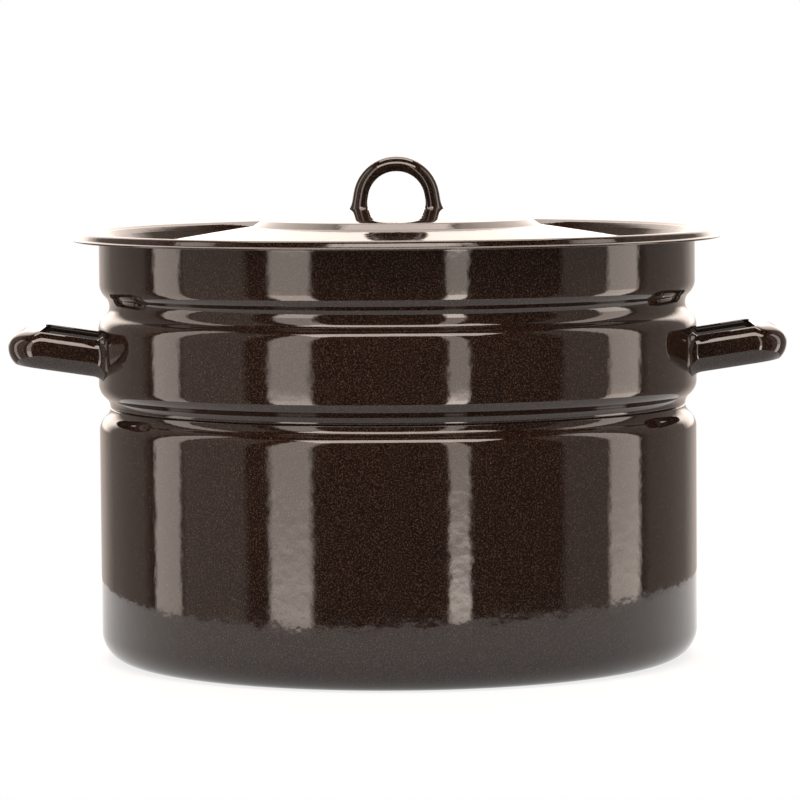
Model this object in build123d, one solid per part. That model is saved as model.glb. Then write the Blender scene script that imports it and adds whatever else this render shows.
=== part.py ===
from build123d import *
import os
from math import cos, radians, sin, sqrt, tan

# Water bath canner: an enamelled steel pot with two beads, a sunken lid and a lifting jar rack.
# Millimetres, +Z up, origin on the pot's axis at the plane it stands on, side handles along X.

# --- Pot ---------------------------------------------------------------------------------
SHEET = 1.2                     # enamelled sheet, both coats included
POT_R = 180.0                   # outside radius of the wall below the lower bead
MIDDLE_R = 180.2                # outside radius between the beads
UPPER_R = 179.3                 # outside radius above the upper bead
BASE_CORNER_R = 17.5            # outside radius between base and wall
BASE_DISH = 1.5                 # the middle of the base is pressed up by this much
REST_RING_R = 130.0             # inner radius of the flat ring that the pot stands on
DISH_STEP = 14.0                # radial width of the step between dish and ring
DISH_FILLET = 20.0

BEAD_LOW_Z, BEAD_LOW_DEPTH = 152.7, 6.7
BEAD_HIGH_Z, BEAD_HIGH_DEPTH = 213.1, 6.3
BEAD_CORNER_OUT = 9.8           # height of a bead's outer corners from its middle
BEAD_CORNER_IN = 4.2            # height of its inner corners from its middle
BEAD_FILLET = 9.0

FLARE_Z = 253.5                 # where the wall turns outwards
FLARE_ANGLE = 24.5              # slope of the flared mouth
FLARE_FILLET = 3.0
CREST_CORNER_R = 189.9          # sharp corner above the rounded crest of the rim
CREST_FILLET = 3.4
LIP_ANGLE = 58.0                # slope of the turned-down lip
LIP_DROP = 4.7                  # from the sharp crest corner down to the brim
BRIM, BRIM_ANGLE = 1.4, 22.0    # short edge turned outwards at the foot of the lip
BRIM_FILLET = 1.5

# --- Side handles: crowned straps bent to a U ---------------------------------------------
STRAP_HEIGHT = 21.4
STRAP_CROWN = 5.5               # depth of the crown
STRAP_SHEET = 2.2
HANDLE_REACH = 235.1            # crown of the grip, measured along the tilted strap
HANDLE_HALF_SPAN = 47.0         # crown of each leg from the middle plane
HANDLE_TILT = 8.5               # degrees, the grip stands higher than the feet
HANDLE_AXIS_Z = 157.0           # where the tilted middle plane crosses the pot's axis
HANDLE_CORNER_R = 20.0
GRIP_WEB = 16.0                 # width of the grip seen from above, with its turned-in upper edge
FOOT_DEPTH = 10.0               # the legs are drawn this far into the wall, then trimmed to it

# --- Lid ---------------------------------------------------------------------------------
LID_TOP_Z = 270.9
LID_FLAT_R = 22.0
LID_STEP_R, LID_STEP_Z = 81.0, 264.0        # upper edge of the pressed step
LID_FOOT_R, LID_FOOT_Z = 87.0, 260.1        # lower edge of the pressed step
LID_TROUGH_R, LID_TROUGH_Z = 170.0, 247.4   # lowest ring, inside the wall
LID_RISE_R, LID_RISE_Z = 176.0, 254.4       # top of the steep flange
LID_EDGE_R, LID_EDGE_Z = 179.0, 255.8       # middle of the rolled edge, over the flared mouth
LID_BEAD_R = 1.3
LID_FILLETS = [60.0, 4.2, 3.8, 5.0, 2.5]    # dome, step, foot of the step, trough, flange

# --- Lid handle: half-round channel bent to an arch ---------------------------------------
ARCH_TOP_Z = 301.9
ARCH_FOOT_X = 27.4
ARCH_SHOULDER_X = 22.15
ARCH_FILLET = 25.8
CHANNEL_WIDTH = 15.0
CHANNEL_DEPTH = 9.0
CHANNEL_SHEET = 1.8
ARCH_DEPTH, ARCH_SPLAY = 6.0, 1.0           # feet drawn into the lid, then trimmed to it

# --- Jar rack ----------------------------------------------------------------------------
RING_R, RING_WIRE = 152.0, 5.0              # base and top rings
CENTRE_R, CENTRE_WIRE = 50.0, 4.0           # rings of the middle cell
FLOOR_WIRE, FLOOR_PITCH, FLOOR_COUNT = 3.5, 24.0, 12
CROSS_BAR_X, CROSS_BAR_WIRE = 60.0, 4.0
BAR_END_GAP = 0.8                           # a bar's square end stops short of the round ring
DIVIDER_WIRE, DIVIDER_COUNT = 3.5, 6
DIVIDER_RISE = 8.0                          # dividers stand above the top ring by this much
DIVIDER_FILLET = 7.0
DIVIDER_DROP = 1.0                          # and reach this far below the base ring's middle
RACK_REST_Z = 1.5                           # 0.3 above the pot's inner floor
BASE_RING_Z = 16.0
TOP_RING_Z = 104.0
FOOT_WIRE, FOOT_HALF, FOOT_COUNT, FOOT_BEND = 4.0, 9.0, 4, 4.0

# --- Rack handles ------------------------------------------------------------------------
BAIL_WIRE = 4.0
HINGE_X, HINGE_DROP, HINGE_HALF, HINGE_BEND = 143.5, 9.0, 50.0, 3.0
EYE_CLEARANCE = 0.2                         # radial gap between an eye and its hinge bar
BAIL_HALF = 30.0
HOOK_R, HOOK_BEND = 11.0, 10.9              # half the hook's width, and its bends
HOOK_TOP_Z = 221.0
GRIP_Z, GRIP_BEND = 201.0, 8.0


def filleted(corners, fillets):
    """Line in the XZ plane through (radius, height) corners, the inner ones rounded."""
    return FilletPolyline(*[(r, 0, z) for r, z in corners], radius=fillets)


def turned_sheet(line):
    """Sheet metal turned about Z. The line is its upper or inner face, from the middle out."""
    outline = Wire(line.edges()).offset_2d(SHEET, kind=Kind.INTERSECTION, side=Side.RIGHT)
    return revolve(make_face(outline.edges()), Axis.Z)


def wire_form(points, diameter, fillets=None):
    """Round wire bent through the given points."""
    path = FilletPolyline(*points, radius=fillets) if fillets else Line(*points)
    start = Plane(path @ 0, z_dir=path % 0)
    return sweep(start * Circle(diameter / 2), path=path)


def ring(radius, diameter, z):
    return Pos(0, 0, z) * Torus(radius, diameter / 2)


def bead_corners(z, depth, below_r, above_r):
    """Corners of an inward bead on the wall's inner face, bottom to top."""
    floor_r = (below_r + above_r) / 2 - depth
    return [(below_r, z - BEAD_CORNER_OUT), (floor_r, z - BEAD_CORNER_IN),
            (floor_r, z + BEAD_CORNER_IN), (above_r, z + BEAD_CORNER_OUT)]


def pot_shell():
    low_r, middle_r, upper_r = POT_R - SHEET, MIDDLE_R - SHEET, UPPER_R - SHEET
    crest_z = FLARE_Z + (CREST_CORNER_R - upper_r) * tan(radians(FLARE_ANGLE))
    lip_z = crest_z - LIP_DROP
    lip_r = CREST_CORNER_R + LIP_DROP / tan(radians(LIP_ANGLE))
    brim_angle = radians(BRIM_ANGLE)
    corners = [(0, BASE_DISH + SHEET), (REST_RING_R - DISH_STEP, BASE_DISH + SHEET),
               (REST_RING_R, SHEET), (low_r, SHEET)]
    corners += bead_corners(BEAD_LOW_Z, BEAD_LOW_DEPTH, low_r, middle_r)
    corners += bead_corners(BEAD_HIGH_Z, BEAD_HIGH_DEPTH, middle_r, upper_r)
    corners += [(upper_r, FLARE_Z), (CREST_CORNER_R, crest_z), (lip_r, lip_z),
                (lip_r + BRIM * cos(brim_angle), lip_z - BRIM * sin(brim_angle))]
    fillets = [DISH_FILLET, DISH_FILLET, BASE_CORNER_R - SHEET] + [BEAD_FILLET] * 8
    fillets += [FLARE_FILLET, CREST_FILLET, BRIM_FILLET]
    return turned_sheet(filleted(corners, fillets))


def grip_web(plane):
    """Upper edge of the strap turned in flat over the grip."""
    slab = Pos(HANDLE_REACH - STRAP_CROWN - GRIP_WEB, 0)
    slab *= Rectangle(2 * GRIP_WEB, 2 * (HANDLE_HALF_SPAN - STRAP_CROWN))
    slab = fillet(slab.vertices().sort_by(Axis.X)[-2:], HANDLE_CORNER_R - STRAP_CROWN)
    kept = Pos(HANDLE_REACH - GRIP_WEB / 2, 0) * Rectangle(GRIP_WEB, 2 * HANDLE_HALF_SPAN)
    under = Pos(0, 0, STRAP_HEIGHT / 2 - STRAP_SHEET)
    return extrude(plane * under * (slab & kept), STRAP_SHEET)


def side_handle(side):
    """One strap handle, side is +1 on the right and -1 on the left."""
    tilt = radians(HANDLE_TILT)
    plane = Plane(origin=(0, 0, HANDLE_AXIS_Z), x_dir=(side * cos(tilt), 0, sin(tilt)),
                  z_dir=(-sin(tilt) * side, 0, cos(tilt)))
    leg_start = POT_R - FOOT_DEPTH
    span = HANDLE_HALF_SPAN
    path = plane * FilletPolyline((leg_start, -span), (HANDLE_REACH, -span),
                                  (HANDLE_REACH, span), (leg_start, span), radius=HANDLE_CORNER_R)
    half = STRAP_HEIGHT / 2
    outer = ThreePointArc((-STRAP_CROWN, -half), (0, 0), (-STRAP_CROWN, half))
    inner = ThreePointArc((-STRAP_CROWN, half - STRAP_SHEET), (-STRAP_SHEET, 0),
                          (-STRAP_CROWN, STRAP_SHEET - half))
    closing = [Line(outer @ 1, inner @ 0), Line(inner @ 1, outer @ 0)]
    section = make_face([outer, inner] + closing)
    outward = plane.y_dir * -1
    start = Plane(origin=path @ 0, x_dir=outward, z_dir=path % 0)
    strap = sweep(start * section, path=path) + grip_web(plane)
    return strap - Cylinder(MIDDLE_R, 2 * LID_TOP_Z)


def lid_top():
    """Top line of the lid in the XZ plane, from its middle to its rolled edge."""
    corners = [(0, LID_TOP_Z), (LID_FLAT_R, LID_TOP_Z), (LID_STEP_R, LID_STEP_Z),
               (LID_FOOT_R, LID_FOOT_Z), (LID_TROUGH_R, LID_TROUGH_Z),
               (LID_RISE_R, LID_RISE_Z), (LID_EDGE_R, LID_EDGE_Z + SHEET / 2)]
    return filleted(corners, LID_FILLETS)


def lid_shell():
    return turned_sheet(lid_top()) + ring(LID_EDGE_R, 2 * LID_BEAD_R, LID_EDGE_Z)


def lid_handle():
    """Arch of half-round channel, open towards its inside, welded to the lid's top."""
    foot_x, buried_z = ARCH_FOOT_X + ARCH_SPLAY, LID_TOP_Z - ARCH_DEPTH
    path = FilletPolyline((foot_x, 0, buried_z), (ARCH_SHOULDER_X, 0, ARCH_TOP_Z),
                          (-ARCH_SHOULDER_X, 0, ARCH_TOP_Z), (-foot_x, 0, buried_z),
                          radius=ARCH_FILLET)
    half = CHANNEL_WIDTH / 2
    straight = CHANNEL_DEPTH - half
    back = Pos(-CHANNEL_WIDTH, 0) * Rectangle(CHANNEL_WIDTH, CHANNEL_WIDTH)
    outline = Pos(-half, 0) * Circle(half) - back
    outline += Pos(-half - straight / 2, 0) * Rectangle(straight, CHANNEL_WIDTH)
    hollow = Pos(-half, 0) * Circle(half - CHANNEL_SHEET)
    hollow += Pos(-2 * half, 0) * Rectangle(CHANNEL_WIDTH, CHANNEL_WIDTH - 2 * CHANNEL_SHEET)
    start = Plane(origin=path @ 0, x_dir=(1, 0, 0), z_dir=path % 0)
    arch = sweep(start * (outline - hollow), path=path)
    top = lid_top()
    closing = Polyline(top @ 1, (LID_EDGE_R, 0, 0), (0, 0, 0), top @ 0)
    return arch - revolve(make_face(top.edges() + closing.edges()), Axis.Z)


def floor_wires(bottom_z):
    """Parallel wires that the jars stand on, from ring to ring."""
    wires = {}
    for index in range(FLOOR_COUNT):
        y = (index - (FLOOR_COUNT - 1) / 2) * FLOOR_PITCH
        half = sqrt(RING_R ** 2 - y ** 2)
        z = bottom_z + FLOOR_WIRE / 2
        wires[f"rack_floor_wire_{index + 1:02d}"] = wire_form([(-half, y, z), (half, y, z)], FLOOR_WIRE)
    return wires


def cross_bar(x, top_z):
    """Bar under the floor wires, held between the inside of the base ring's two sides."""
    half = sqrt((RING_R - RING_WIRE / 2) ** 2 - x ** 2) - BAR_END_GAP
    z = top_z - CROSS_BAR_WIRE / 2
    return wire_form([(x, -half, z), (x, half, z)], CROSS_BAR_WIRE)


def divider(angle):
    """Hoop that parts two jars, from the base ring to the middle cell."""
    outer_r = RING_R - RING_WIRE / 2 - DIVIDER_WIRE / 2
    inner_r = CENTRE_R + CENTRE_WIRE / 2 + DIVIDER_WIRE / 2
    bottom_z, top_z = BASE_RING_Z - DIVIDER_DROP, TOP_RING_Z + DIVIDER_RISE
    points = [(inner_r, 0, bottom_z), (inner_r, 0, top_z), (outer_r, 0, top_z), (outer_r, 0, bottom_z)]
    return Rot(0, 0, angle) * wire_form(points, DIVIDER_WIRE, DIVIDER_FILLET)


def rack_foot(angle):
    """Short U of wire under the base ring."""
    top_z = BASE_RING_Z - RING_WIRE / 2
    low_z = RACK_REST_Z + FOOT_WIRE / 2
    points = [(RING_R, -FOOT_HALF, top_z), (RING_R, -FOOT_HALF, low_z),
              (RING_R, FOOT_HALF, low_z), (RING_R, FOOT_HALF, top_z)]
    return Rot(0, 0, angle) * wire_form(points, FOOT_WIRE, FOOT_BEND)


def hinge_bar(side):
    """Staple under the top ring that a rack handle swings on."""
    x, top_z, bar_z = side * HINGE_X, TOP_RING_Z - RING_WIRE / 2, TOP_RING_Z - HINGE_DROP
    points = [(x, -HINGE_HALF, top_z), (x, -HINGE_HALF, bar_z),
              (x, HINGE_HALF, bar_z), (x, HINGE_HALF, top_z)]
    return wire_form(points, BAIL_WIRE, HINGE_BEND)


def rack_handle(side):
    """Bail with two eyes round its hinge bar and two hooks that catch the pot's rim."""
    bar_z = TOP_RING_Z - HINGE_DROP
    eye_r = BAIL_WIRE + EYE_CLEARANCE
    x, far_x = side * HINGE_X, side * (HINGE_X + 2 * HOOK_R)
    front = [(x, -BAIL_HALF, bar_z + eye_r), (x, -BAIL_HALF, HOOK_TOP_Z),
             (far_x, -BAIL_HALF, HOOK_TOP_Z), (far_x, -BAIL_HALF, GRIP_Z)]
    back = [(px, -py, pz) for px, py, pz in reversed(front)]
    bends = [HOOK_BEND, HOOK_BEND, GRIP_BEND, GRIP_BEND, HOOK_BEND, HOOK_BEND]
    bail = wire_form(front + back, BAIL_WIRE, bends)
    eye = Rot(90, 0, 0) * Torus(eye_r, BAIL_WIRE / 2)
    for y in (-BAIL_HALF, BAIL_HALF):
        bail += Pos(x, y, bar_z) * eye
    return bail


def jar_rack():
    floor_z = BASE_RING_Z + RING_WIRE / 2
    nodes = {
        "rack_base_ring": ring(RING_R, RING_WIRE, BASE_RING_Z),
        "rack_top_ring": ring(RING_R, RING_WIRE, TOP_RING_Z),
        "rack_centre_ring_lower": ring(CENTRE_R, CENTRE_WIRE, floor_z - CENTRE_WIRE / 2),
        "rack_centre_ring_upper": ring(CENTRE_R, CENTRE_WIRE, TOP_RING_Z),
        "rack_cross_bar_left": cross_bar(-CROSS_BAR_X, floor_z),
        "rack_cross_bar_right": cross_bar(CROSS_BAR_X, floor_z),
        "rack_hinge_bar_left": hinge_bar(-1),
        "rack_hinge_bar_right": hinge_bar(1),
        "rack_handle_left": rack_handle(-1),
        "rack_handle_right": rack_handle(1),
    }
    nodes.update(floor_wires(floor_z))
    for index in range(DIVIDER_COUNT):
        nodes[f"rack_divider_{index + 1}"] = divider(index * 360 / DIVIDER_COUNT)
    for index in range(FOOT_COUNT):
        nodes[f"rack_foot_{index + 1}"] = rack_foot(45 + index * 360 / FOOT_COUNT)
    return nodes


def canner():
    nodes = {
        "pot_shell": pot_shell(),
        "side_handle_left": side_handle(-1),
        "side_handle_right": side_handle(1),
        "lid_shell": lid_shell(),
        "lid_handle": lid_handle(),
    }
    nodes.update(jar_rack())
    return nodes


os.makedirs("parts", exist_ok=True)
for name, shape in canner().items():
    export_step(shape, f"parts/{name}.step")
    print(f"{name:26s} {shape.volume / 1000:9.2f} cm3  {len(shape.solids())} solid")
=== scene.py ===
from math import acos, cos, pi, radians, sin, sqrt, tan

import bpy
from mathutils import Euler, Matrix, Vector


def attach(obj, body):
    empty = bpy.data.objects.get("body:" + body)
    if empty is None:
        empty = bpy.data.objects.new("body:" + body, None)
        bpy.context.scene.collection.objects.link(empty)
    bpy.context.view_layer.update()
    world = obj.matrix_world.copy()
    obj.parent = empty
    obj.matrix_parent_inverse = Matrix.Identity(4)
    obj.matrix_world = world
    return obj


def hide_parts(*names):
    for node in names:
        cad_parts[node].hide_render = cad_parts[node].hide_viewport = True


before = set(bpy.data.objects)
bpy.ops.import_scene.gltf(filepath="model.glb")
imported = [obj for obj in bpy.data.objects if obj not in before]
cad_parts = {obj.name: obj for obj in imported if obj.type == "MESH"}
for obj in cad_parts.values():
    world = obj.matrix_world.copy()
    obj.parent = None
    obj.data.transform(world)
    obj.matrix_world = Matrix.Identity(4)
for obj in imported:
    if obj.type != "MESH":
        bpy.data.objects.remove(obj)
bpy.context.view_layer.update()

# An enamelled water bath canner. Lengths are millimetres, turned into metres where a mesh is made.
MM = 0.001

# --- Sheet metal, the same dimensions as the CAD model ------------------------------------
SHEET = 1.2
POT_R, MIDDLE_R, UPPER_R = 180.0, 180.2, 179.3
BASE_CORNER_R, BASE_DISH = 17.5, 1.5
REST_RING_R, DISH_STEP, DISH_FILLET = 130.0, 14.0, 20.0
BEAD_LOW_Z, BEAD_LOW_DEPTH = 152.7, 6.7
BEAD_HIGH_Z, BEAD_HIGH_DEPTH = 213.1, 6.3
BEAD_CORNER_OUT, BEAD_CORNER_IN, BEAD_FILLET = 9.8, 4.2, 9.0
FLARE_Z, FLARE_ANGLE = 253.5, 24.5
CREST_CORNER_R, LIP_ANGLE, LIP_DROP = 189.9, 58.0, 4.7
BRIM, BRIM_ANGLE = 1.4, 22.0
RIM_FILLETS = [3.0, 3.4, 1.5]           # flare, crest, brim

LID_TOP_Z, LID_FLAT_R = 270.9, 22.0
LID_STEP_R, LID_STEP_Z = 81.0, 264.0
LID_FOOT_R, LID_FOOT_Z = 87.0, 260.1
LID_TROUGH_R, LID_TROUGH_Z = 170.0, 247.4
LID_RISE_R, LID_RISE_Z = 176.0, 254.4
LID_EDGE_R, LID_EDGE_Z, LID_BEAD_R = 179.0, 255.8, 1.3
LID_FILLETS = [60.0, 4.2, 3.8, 5.0, 2.5]

STRAP_HEIGHT, STRAP_CROWN, STRAP_SHEET = 21.4, 5.5, 2.2
HANDLE_REACH, HANDLE_HALF_SPAN = 235.1, 47.0
HANDLE_TILT, HANDLE_AXIS_Z, HANDLE_CORNER_R = 8.5, 157.0, 20.0
GRIP_WEB = 16.0

ARCH_TOP_Z, ARCH_FOOT_X, ARCH_SHOULDER_X, ARCH_FILLET = 301.9, 27.4, 22.15, 25.8
CHANNEL_WIDTH, CHANNEL_DEPTH, CHANNEL_SHEET = 15.0, 9.0, 1.8
ARCH_SINK = 0.05                        # the arch's feet end this far below the lid's top

# --- Welds: how far the feet of the handles spread, over what length, and how steeply ------
STRAP_WELD, ARCH_WELD = 2.4, 1.3
WELD_LENGTH, WELD_CURVE = 6.0, 2.5
SETTLE_LENGTH = 3 * WELD_LENGTH         # the rings turn to lie on the surface over this length

# --- How finely the meshes are cut ---------------------------------------------------------
LATHE_SEGMENTS = 360
ARC_STEP = 7.0                          # degrees
SHEET_SPACING, STRAP_SPACING, ARCH_SPACING = 12.0, 1.2, 1.0
SECTION_STEPS, EDGE_STEPS = 24, 6
BEAD_START, BEAD_STEP, BEAD_POINTS = 130, 26, 11    # degrees, round the lid's rolled edge

# --- Camera and lights, around the pot's axis ---------------------------------------------
CAMERA_DISTANCE, CAMERA_HEIGHT, CAMERA_OFFSET = 2728.0, 353.0, 1.22
CAMERA_PITCH, CAMERA_ROLL, CAMERA_LENS = 4.16, -0.451, 203.6
FLOOR_R, FLOOR_SHIFT = 500.0, 25.0


# --- Outlines ------------------------------------------------------------------------------
def arc_points(before, corner, after, radius):
    """Points of the arc that rounds a corner, from one tangent point to the other."""
    a = (before - corner).normalized()
    b = (after - corner).normalized()
    half = acos(max(-1.0, min(1.0, a.dot(b)))) / 2
    centre = corner + (a + b).normalized() * (radius / sin(half))
    start = corner + a * (radius / tan(half)) - centre
    sweep = pi - 2 * half
    axis = start.cross(corner - centre).normalized()
    steps = max(3, round(sweep * 180 / pi / ARC_STEP))
    return [centre + Matrix.Rotation(sweep * i / steps, 3, axis) @ start
            for i in range(steps + 1)]


def rounded(corners, radii, spacing):
    """A line through corners with each inner one rounded, its straight runs cut to the spacing."""
    corners = [Vector(c) if len(c) == 3 else Vector((c[0], 0, c[1])) for c in corners]
    line = [corners[0]]
    for i, radius in enumerate(radii, start=1):
        line += arc_points(corners[i - 1], corners[i], corners[i + 1], radius)
    line.append(corners[-1])
    fine = [line[0]]
    for point in line[1:]:
        run = point - fine[-1]
        pieces = max(1, round(run.length / spacing))
        start = fine[-1]
        fine += [start + run * (k / pieces) for k in range(1, pieces + 1)]
    return fine


def left_normals(line):
    """Unit normals in the XZ plane, to the left of the way along the line."""
    normals = []
    for i in range(len(line)):
        way = line[min(i + 1, len(line) - 1)] - line[max(i - 1, 0)]
        normals.append(Vector((-way.z, 0, way.x)).normalized())
    return normals


def sheet_outline(line):
    """Closed outline of a sheet to the right of the line, with a rounded free edge."""
    normals = left_normals(line)
    far = [p - n * SHEET for p, n in zip(line, normals)]
    middle = (line[-1] + far[-1]) / 2
    radius = line[-1] - middle
    along = Vector((normals[-1].z, 0, -normals[-1].x)) * (SHEET / 2)
    edge = [middle + radius * cos(pi * k / EDGE_STEPS) + along * sin(pi * k / EDGE_STEPS)
            for k in range(1, EDGE_STEPS)]
    return line + edge + far[::-1]


# --- Meshes --------------------------------------------------------------------------------
def new_object(name, verts, faces, material, smooth_angle=None):
    """Smooth-shaded mesh object from millimetres; edges sharper than smooth_angle stay sharp."""
    mesh = bpy.data.meshes.new(name)
    mesh.from_pydata([tuple(Vector(v) * MM) for v in verts], [], faces)
    mesh.validate()
    mesh.materials.append(material)
    obj = bpy.data.objects.new(name, mesh)
    bpy.context.scene.collection.objects.link(obj)
    for face in mesh.polygons:
        face.use_smooth = True
    if smooth_angle is not None:
        mesh.set_sharp_from_angle(angle=radians(smooth_angle))
    return obj


def lathe(name, outline, material):
    """Solid of revolution about Z. The outline starts and ends on the axis."""
    segments = LATHE_SEGMENTS
    verts, rings = [], []
    for point in outline:
        if point.x < 1e-6:
            rings.append([len(verts)] * segments)
            verts.append((0, 0, point.z))
            continue
        rings.append(list(range(len(verts), len(verts) + segments)))
        for k in range(segments):
            turn = 2 * pi * k / segments
            verts.append((point.x * cos(turn), point.x * sin(turn), point.z))
    faces = []
    for low, high in zip(rings, rings[1:]):
        if low[0] == low[1] and high[0] == high[1]:
            continue
        for k in range(segments):
            m = (k + 1) % segments
            corners = [low[k], low[m], high[m], high[k]]
            faces.append(list(dict.fromkeys(corners)))
    obj = new_object(name, verts, faces, material)
    obj.data.flip_normals()
    return obj


def tube(name, rings, material):
    """Skin over closed rings of points, closed at both ends by a face."""
    count = len(rings[0])
    verts = [p for ring in rings for p in ring]
    faces = []
    for i in range(len(rings) - 1):
        for k in range(count):
            m = (k + 1) % count
            faces.append([i * count + k, i * count + m, (i + 1) * count + m, (i + 1) * count + k])
    faces.append(list(range(count))[::-1])
    faces.append([(len(rings) - 1) * count + k for k in range(count)])
    return new_object(name, verts, faces, material, smooth_angle=60)


# --- Pot and lid ---------------------------------------------------------------------------
def bead_corners(z, depth, below_r, above_r):
    """Corners of an inward bead on the wall's inner face, bottom to top."""
    floor_r = (below_r + above_r) / 2 - depth
    return [(below_r, z - BEAD_CORNER_OUT), (floor_r, z - BEAD_CORNER_IN),
            (floor_r, z + BEAD_CORNER_IN), (above_r, z + BEAD_CORNER_OUT)]


def pot_shell(material):
    """Drawn shell: dished base, straight wall with two beads, flared mouth, turned-down lip."""
    low_r, middle_r, upper_r = POT_R - SHEET, MIDDLE_R - SHEET, UPPER_R - SHEET
    crest_z = FLARE_Z + (CREST_CORNER_R - upper_r) * tan(radians(FLARE_ANGLE))
    lip_z = crest_z - LIP_DROP
    lip_r = CREST_CORNER_R + LIP_DROP / tan(radians(LIP_ANGLE))
    brim_angle = radians(BRIM_ANGLE)
    corners = [(0, BASE_DISH + SHEET), (REST_RING_R - DISH_STEP, BASE_DISH + SHEET),
               (REST_RING_R, SHEET), (low_r, SHEET)]
    corners += bead_corners(BEAD_LOW_Z, BEAD_LOW_DEPTH, low_r, middle_r)
    corners += bead_corners(BEAD_HIGH_Z, BEAD_HIGH_DEPTH, middle_r, upper_r)
    corners += [(upper_r, FLARE_Z), (CREST_CORNER_R, crest_z), (lip_r, lip_z),
                (lip_r + BRIM * cos(brim_angle), lip_z - BRIM * sin(brim_angle))]
    fillets = [DISH_FILLET, DISH_FILLET, BASE_CORNER_R - SHEET] + [BEAD_FILLET] * 8 + RIM_FILLETS
    outline = sheet_outline(rounded(corners, fillets, SHEET_SPACING))
    return lathe("pot_body", outline, material)


def lid_top():
    """The lid's upper face from the middle out to the rolled edge."""
    corners = [(0, LID_TOP_Z), (LID_FLAT_R, LID_TOP_Z), (LID_STEP_R, LID_STEP_Z),
               (LID_FOOT_R, LID_FOOT_Z), (LID_TROUGH_R, LID_TROUGH_Z),
               (LID_RISE_R, LID_RISE_Z), (LID_EDGE_R, LID_EDGE_Z + SHEET / 2)]
    return rounded(corners, LID_FILLETS, SHEET_SPACING)


def lid_top_z(r):
    """Height of the lid's upper face at a radius."""
    line = lid_top()
    for a, b in zip(line, line[1:]):
        if a.x <= r <= b.x:
            return a.z + (b.z - a.z) * (r - a.x) / max(b.x - a.x, 1e-9)
    return line[-1].z


def lid_shell(material):
    """Sunken lid: pressed sheet that ends in a rolled edge."""
    top = lid_top()
    under = [p + n * -SHEET for p, n in zip(top, left_normals(top))]
    turns = [radians(BEAD_START - BEAD_STEP * k) for k in range(BEAD_POINTS)]
    bead = [Vector((LID_EDGE_R, 0, LID_EDGE_Z)) + LID_BEAD_R * Vector((cos(a), 0, sin(a)))
            for a in turns]
    top = [p for p in top if p.x < bead[0].x - 0.3]
    under = [p for p in under if p.x < bead[-1].x - 0.3]
    return lathe("lid_body", top + bead + under[::-1], material)


# --- Handles -------------------------------------------------------------------------------
def strap_section(grip):
    """Section of a strap handle, (outward, up), its crown at the origin.

    grip runs from 0 on the legs, a plain crescent, to 1 at the grip, where the upper half curls
    over into a web.
    """
    half = STRAP_HEIGHT / 2
    outer_r = (half ** 2 + STRAP_CROWN ** 2) / (2 * STRAP_CROWN)
    spread = acos(1 - STRAP_CROWN / outer_r)
    outer = []
    for k in range(SECTION_STEPS + 1):
        t = 2 * k / SECTION_STEPS - 1
        n, u = outer_r * (cos(spread * t) - 1), outer_r * sin(spread * t)
        if t > 0:
            n += grip * (GRIP_WEB * (cos(t * pi / 2) - 1) - n)
            u += grip * (half * sin(t * pi / 2) - u)
        outer.append(Vector((n, 0, u)))
    normals = left_normals(outer)
    inner = [p + m * STRAP_SHEET for p, m in zip(outer, normals)]
    points = outer + round_edge(outer[-1], inner[-1]) + inner[::-1] + round_edge(inner[0], outer[0])
    return [(p.x, p.z) for p in points]


def round_edge(start, end):
    """Points of the half circle that closes a sheet's edge, from one face to the other."""
    middle, radius = (start + end) / 2, (start - end) / 2
    bulge = Vector((-radius.z, 0, radius.x))
    return [middle + radius * cos(pi * k / EDGE_STEPS) + bulge * sin(pi * k / EDGE_STEPS)
            for k in range(1, EDGE_STEPS)]


def half_round_channel():
    """Section of the lid handle, (outward, across), the crown at the origin."""
    half = CHANNEL_WIDTH / 2
    inner = half - CHANNEL_SHEET
    edge_r = CHANNEL_SHEET / 2
    edge_n = edge_r - CHANNEL_DEPTH
    outside = [pi * k / 16 - pi / 2 for k in range(17)]
    inside = [pi / 2 - pi * k / 12 for k in range(13)]
    edge = [pi * k / 6 for k in range(7)]
    points = [(-half + half * cos(a), half * sin(a)) for a in outside]
    points += [(edge_n - edge_r * sin(a), half - edge_r + edge_r * cos(a)) for a in edge]
    points += [(-half + inner * cos(a), inner * sin(a)) for a in inside]
    points += [(edge_n - edge_r * sin(a), edge_r - half + edge_r * cos(a)) for a in edge]
    return points


def smooth_step(t):
    """0 up to t = 0, 1 from t = 1, and a smooth rise between them."""
    t = max(0.0, min(1.0, t))
    return t * t * (3 - 2 * t)


def outline_normals(section):
    """Outward normals of a closed section that runs anticlockwise."""
    count = len(section)
    normals = []
    for i in range(count):
        ax, ay = section[i - 1]
        bx, by = section[(i + 1) % count]
        length = max(sqrt((bx - ax) ** 2 + (by - ay) ** 2), 1e-9)
        normals.append(((by - ay) / length, (ax - bx) / length))
    return normals


def swept(name, line, up, outward_side, sections, weld_spread, foot, material):
    """Strap or channel swept along a line whose ends meet a surface, one section per point.

    foot(point, way) gives how far a point has to slide along way to reach that surface. Near
    each end the section spreads into a weld fillet and its rings turn to lie on the surface.
    """
    count = len(line)
    lengths = [0.0]
    for a, b in zip(line, line[1:]):
        lengths.append(lengths[-1] + (b - a).length)
    total = lengths[-1]
    rings = []
    for i, (point, section) in enumerate(zip(line, sections)):
        normals = outline_normals(section)
        way = (line[min(i + 1, count - 1)] - line[max(i - 1, 0)]).normalized()
        across = outward_side * way.cross(up).normalized()
        from_end = min(lengths[i], total - lengths[i])
        end_way = way if lengths[i] > total / 2 else -way
        spread = weld_spread * max(0.0, 1 - from_end / WELD_LENGTH) ** WELD_CURVE
        settle = max(0.0, 1 - from_end / SETTLE_LENGTH)
        ring = []
        for (n, u), (nn, nu) in zip(section, normals):
            p = point + across * (n + nn * spread) + up * (u + nu * spread)
            if settle > 0:
                p = p + end_way * (foot(p, end_way) - from_end) * settle
            ring.append(p)
        rings.append(ring)
    return tube(name, rings, material)


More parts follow.
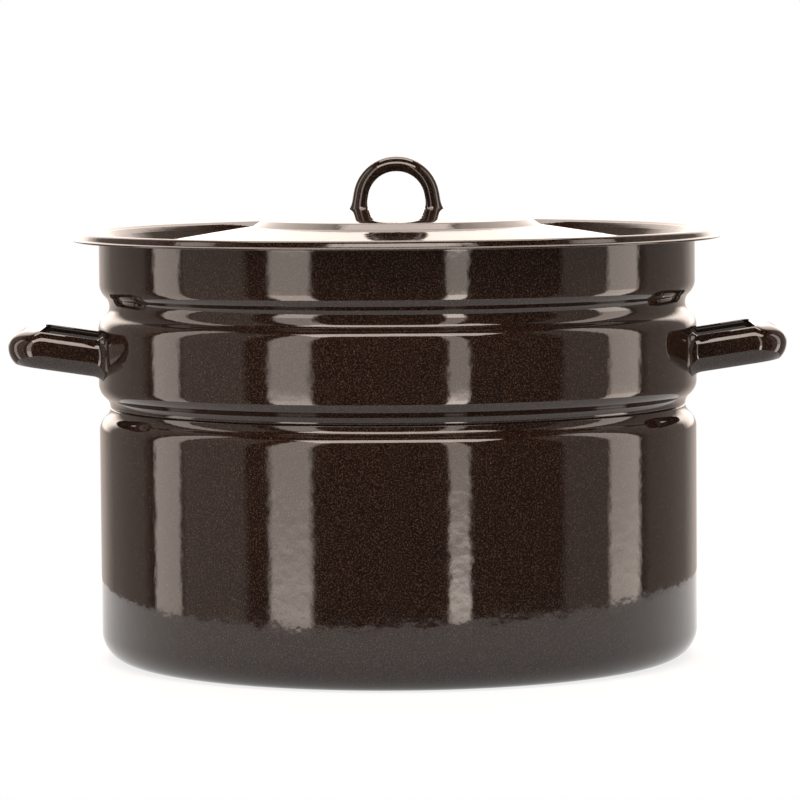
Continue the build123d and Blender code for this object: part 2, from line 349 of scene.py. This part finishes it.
def side_handle(side, material):
    """Strap bent to a U, tilted up and welded to the wall; side is 1 on the right, else -1."""
    tilt = radians(HANDLE_TILT)
    along = Vector((side * cos(tilt), 0, sin(tilt)))
    up = Vector((-side * sin(tilt), 0, cos(tilt)))
    origin = Vector((0, 0, HANDLE_AXIS_Z))
    start = sqrt(MIDDLE_R ** 2 - HANDLE_HALF_SPAN ** 2) / cos(tilt)

    def place(u, y):
        return origin + along * u + Vector((0, y, 0))

    corners = [place(start, -HANDLE_HALF_SPAN), place(HANDLE_REACH, -HANDLE_HALF_SPAN),
               place(HANDLE_REACH, HANDLE_HALF_SPAN), place(start, HANDLE_HALF_SPAN)]
    line = rounded(corners, [HANDLE_CORNER_R] * 2, STRAP_SPACING)

    def foot(p, way):
        wall_x = side * sqrt(MIDDLE_R ** 2 - p.y ** 2)
        return (wall_x - p.x) / way.x

    def grip(p):
        turned = (p - origin).dot(along) - (HANDLE_REACH - HANDLE_CORNER_R)
        return smooth_step(turned / HANDLE_CORNER_R)

    name = "strap_handle_right" if side > 0 else "strap_handle_left"
    sections = [strap_section(grip(p)) for p in line]
    return swept(name, line, up, side, sections, STRAP_WELD, foot, material)


def lid_handle(material):
    """Half-round channel bent to an arch, open side inwards, welded to the middle of the lid."""
    corners = [(ARCH_FOOT_X, LID_TOP_Z), (ARCH_SHOULDER_X, ARCH_TOP_Z),
               (-ARCH_SHOULDER_X, ARCH_TOP_Z), (-ARCH_FOOT_X, LID_TOP_Z)]
    line = rounded(corners, [ARCH_FILLET] * 2, ARCH_SPACING)

    def foot(p, way):
        return (lid_top_z(sqrt(p.x ** 2 + p.y ** 2)) - ARCH_SINK - p.z) / way.z

    sections = [half_round_channel()] * len(line)
    return swept("arch_handle", line, Vector((0, 1, 0)), -1, sections, ARCH_WELD, foot, material)


# --- Materials -----------------------------------------------------------------------------
class Nodes:
    """Short ways to add and join shader nodes in one tree."""

    def __init__(self, tree):
        self.tree = tree
        tree.nodes.clear()

    def add(self, kind, **inputs):
        node = self.tree.nodes.new("ShaderNode" + kind)
        for name, value in inputs.items():
            self.feed(node.inputs[name.replace("_", " ")], value)
        return node

    def feed(self, socket, value):
        if isinstance(value, bpy.types.NodeSocket):
            self.tree.links.new(value, socket)
        else:
            socket.default_value = value

    def math(self, operation, *values, clamp=False):
        node = self.tree.nodes.new("ShaderNodeMath")
        node.operation, node.use_clamp = operation, clamp
        for socket, value in zip(node.inputs, values):
            self.feed(socket, value)
        return node.outputs[0]

    def mix(self, factor, a, b):
        node = self.tree.nodes.new("ShaderNodeMix")
        node.data_type = "RGBA"
        factor_in, colour_a, colour_b = node.inputs[0], node.inputs[6], node.inputs[7]
        self.feed(factor_in, factor)
        self.feed(colour_a, a)
        self.feed(colour_b, b)
        return node.outputs[2]

    def ramp(self, factor, low, high):
        """0 up to low, 1 from high, and a straight rise between them."""
        node = self.tree.nodes.new("ShaderNodeValToRGB")
        self.tree.links.new(factor, node.inputs[0])
        black, white = node.color_ramp.elements
        black.position, black.color = low, (0, 0, 0, 1)
        white.position, white.color = high, (1, 1, 1, 1)
        return node.outputs[0]

    def noise(self, coords, size_mm, detail):
        return self.add("TexNoise", Vector=coords, Scale=1 / (size_mm * MM), Detail=detail,
                        Roughness=0.5).outputs[0]

    def spread(self, value, low, high):
        """The value's 0 to 1 turned into low to high."""
        node = self.add("MapRange", Value=value)
        node.inputs["To Min"].default_value, node.inputs["To Max"].default_value = low, high
        return node.outputs[0]


ENAMEL_DARK, ENAMEL_LIGHT = (0.0066, 0.0031, 0.0023, 1), (0.0088, 0.0044, 0.0032, 1)
ENAMEL_GRAIN = (0.034, 0.0195, 0.0127, 1)
FLECK_COLOUR = (0.13, 0.082, 0.045, 1)
FLECK_PITCH, FLECK_SIZE, FLECKS_LEFT_OUT = 2.4, 0.10, 0.6   # mm, share of the pitch, share
WAVE_DEPTH, PEEL_SHARE = 0.07, 0.16     # mm of slow wave in the gloss, and its finer part
WIRE_BRIGHT, WIRE_DULL = (0.66, 0.655, 0.64, 1), (0.50, 0.49, 0.46, 1)


def enamel():
    """Dark brown vitreous enamel: dense fine speckle, sparse tan flecks, a slightly wavy gloss."""
    material = bpy.data.materials.new("brown_speckled_enamel")
    material.use_nodes = True
    n = Nodes(material.node_tree)
    coords = n.add("TexCoord").outputs["Object"]
    grain = n.ramp(n.noise(coords, 0.9, 1.0), 0.45, 0.68)
    cloud = n.ramp(n.noise(coords, 14.0, 3.0), 0.35, 0.7)
    ground = n.mix(cloud, ENAMEL_DARK, ENAMEL_LIGHT)
    speckled = n.mix(grain, ground, ENAMEL_GRAIN)
    fleck = n.add("TexVoronoi", Vector=coords, Scale=1 / (FLECK_PITCH * MM), Randomness=1.0)
    near = n.math("LESS_THAN", fleck.outputs["Distance"], FLECK_SIZE)
    pick = n.add("SeparateColor", Color=fleck.outputs["Color"]).outputs[0]
    chosen = n.math("GREATER_THAN", pick, FLECKS_LEFT_OUT)
    colour = n.mix(n.math("MULTIPLY", near, chosen), speckled, FLECK_COLOUR)
    wave = n.noise(coords, 9.0, 1.5)
    peel = n.noise(coords, 2.6, 1.0)
    height = n.math("ADD", wave, n.math("MULTIPLY", peel, PEEL_SHARE))
    bump = n.add("Bump", Strength=1.0, Distance=WAVE_DEPTH * MM, Height=height)
    shader = n.add("BsdfPrincipled", Base_Color=colour, Roughness=n.spread(cloud, 0.045, 0.07),
                   IOR=1.5, Normal=bump.outputs[0])
    n.add("OutputMaterial", Surface=shader.outputs[0])
    return material


def plated_wire():
    """Bright plating on drawn wire, with faint draw lines and a dull bloom from hot water."""
    material = bpy.data.materials.new("plated_wire")
    material.use_nodes = True
    n = Nodes(material.node_tree)
    coords = n.add("TexCoord").outputs["Object"]
    bloom = n.ramp(n.noise(coords, 18.0, 4.0), 0.4, 0.72)
    colour = n.mix(bloom, WIRE_BRIGHT, WIRE_DULL)
    scratch = n.noise(coords, 0.5, 3.0)
    bump = n.add("Bump", Strength=0.5, Distance=0.02 * MM, Height=scratch)
    shader = n.add("BsdfPrincipled", Base_Color=colour, Metallic=1.0,
                   Roughness=n.spread(bloom, 0.12, 0.32), Normal=bump.outputs[0])
    n.add("OutputMaterial", Surface=shader.outputs[0])
    return material


# --- Studio --------------------------------------------------------------------------------
# Softboxes by azimuth from the front, degrees: start, end, edge softness, level, level of its foot
STUDIO_PANELS = [
    (-106.5, -91.5, 2.0, 3.0, 3.0), (-90.0, -60.0, 3.0, 0.5, 0.5), (-49.8, -33.0, 2.5, 3.6, 7.0),
    (19.0, 26.9, 1.5, 3.3, 11.0), (65.5, 87.0, 3.0, 0.42, 0.42), (87.8, 105.1, 2.5, 3.3, 5.5),
    (-195.0, -112.0, 6.0, 0.28, 0.28), (109.0, 195.0, 6.0, 0.28, 0.28),
    (-200.0, -150.0, 14.0, 0.35, 0.35), (150.0, 200.0, 14.0, 0.35, 0.35)]
STRIP_FOOT = -7.0                       # below this elevation a softbox has its foot's level
DARK_ROOM = 0.07                        # level between the softboxes
WARM_WHITE = (1.08, 0.93, 0.83, 1)      # what the enamel reflects
REAR_WALL, REAR_LEVEL = 150.0, 2.0      # the bright wall starts at this azimuth on either side
# Softboxes above: half width over height, pitch of both edges from the front horizon, level
OVERHEAD_BOXES = [(0.62, 50.0, 68.0, 9.0), (0.45, 104.0, 122.0, 6.0)]


def studio_light():
    """White studio: bright strips at the sides and front, as softboxes, and a white wall behind."""
    world = bpy.data.worlds.new("studio")
    bpy.context.scene.world = world
    world.use_nodes = True
    n = Nodes(world.node_tree)
    way = n.add("SeparateXYZ", Vector=n.add("TexCoord").outputs["Generated"])
    x, y, z = way.outputs
    front = n.math("MULTIPLY", y, -1.0)
    azimuth, pitch = n.math("ARCTAN2", x, front), n.math("ARCTAN2", z, front)
    height = n.math("ARCSINE", z)

    def window(value, low, high, soft):
        """1 between two angles in degrees, 0 outside them, with soft edges."""
        above = n.math("SUBTRACT", value, radians(low - soft / 2))
        below = n.math("SUBTRACT", radians(high + soft / 2), value)
        rise = n.math("DIVIDE", above, radians(soft), clamp=True)
        fall = n.math("DIVIDE", below, radians(soft), clamp=True)
        return n.math("MULTIPLY", rise, fall)

    low = window(height, -60, STRIP_FOOT, 3)
    side = DARK_ROOM
    for start, end, soft, level, foot_level in STUDIO_PANELS:
        shade = n.math("ADD", n.math("MULTIPLY", low, foot_level - level), level)
        panel = window(azimuth, start, end, soft)
        side = n.math("ADD", n.math("MULTIPLY", panel, shade), side)
    side = n.math("MULTIPLY", side, window(height, -60, 50, 8))
    behind = n.math("SUBTRACT", 1.0, window(azimuth, -REAR_WALL, REAR_WALL, 10))
    rear = n.math("MULTIPLY", n.math("MULTIPLY", behind, window(height, 1, 55, 4)), REAR_LEVEL)
    level = n.math("ADD", side, rear)
    for half_x, start, end, strength in OVERHEAD_BOXES:
        across = n.math("LESS_THAN", n.math("ABSOLUTE", n.math("DIVIDE", x, z)), half_x)
        box = n.math("MULTIPLY", across, window(pitch, start, end, 2))
        level = n.math("ADD", level, n.math("MULTIPLY", box, strength))
    lit = n.add("Background", Color=WARM_WHITE, Strength=level)
    seen = n.add("Background", Color=(1, 1, 1, 1), Strength=1.0)
    camera_ray = n.add("LightPath").outputs["Is Camera Ray"]
    both = n.add("MixShader", Fac=camera_ray)
    n.tree.links.new(lit.outputs[0], both.inputs[1])
    n.tree.links.new(seen.outputs[0], both.inputs[2])
    n.add("OutputWorld", Surface=both.outputs[0])


def floor():
    """White sweep that the pot stands on."""
    material = bpy.data.materials.new("white_floor")
    material.use_nodes = True
    n = Nodes(material.node_tree)
    diffuse = n.add("BsdfDiffuse", Color=(0.2, 0.2, 0.2, 1))
    glow = n.add("Emission", Color=(1, 1, 1, 1), Strength=0.8)
    both = n.add("AddShader")
    n.tree.links.new(diffuse.outputs[0], both.inputs[0])
    n.tree.links.new(glow.outputs[0], both.inputs[1])
    n.add("OutputMaterial", Surface=both.outputs[0])
    count = 96
    ring = [(FLOOR_SHIFT + FLOOR_R * cos(2 * pi * k / count), FLOOR_R * sin(2 * pi * k / count), 0)
            for k in range(count)]
    obj = new_object("floor", ring, [list(range(count))], material)


def camera():
    """Camera at the photograph's viewing angle."""
    data = bpy.data.cameras.new("camera")
    data.lens, data.sensor_width = CAMERA_LENS, 36.0
    data.clip_start, data.clip_end = 0.1, 50.0
    obj = bpy.data.objects.new("camera", data)
    bpy.context.scene.collection.objects.link(obj)
    look = Euler((radians(90 - CAMERA_PITCH), 0, 0)).to_matrix()
    roll = Matrix.Rotation(radians(CAMERA_ROLL), 3, "Z")
    place = Vector((CAMERA_OFFSET, -CAMERA_DISTANCE, CAMERA_HEIGHT)) * MM
    obj.matrix_world = Matrix.Translation(place) @ (look @ roll).to_4x4()
    bpy.context.scene.camera = obj


# --- Assembly ------------------------------------------------------------------------------
def assemble():
    """The enamelled pieces stand in for their CAD nodes; the rack's CAD wires show as they are."""
    brown, wire = enamel(), plated_wire()
    pieces = [
        (pot_shell(brown), "pot", "pot_shell"),
        (side_handle(-1, brown), "pot", "side_handle_left"),
        (side_handle(1, brown), "pot", "side_handle_right"),
        (lid_shell(brown), "lid", "lid_shell"),
        (lid_handle(brown), "lid", "lid_handle"),
    ]
    for piece, body, node in pieces:
        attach(piece, body)
        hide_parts(node)
    for name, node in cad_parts.items():
        if name.startswith("rack_"):
            for slot in node.material_slots:
                slot.material = wire


assemble()
studio_light()
floor()
camera()
bpy.context.scene.view_settings.view_transform = "Standard"
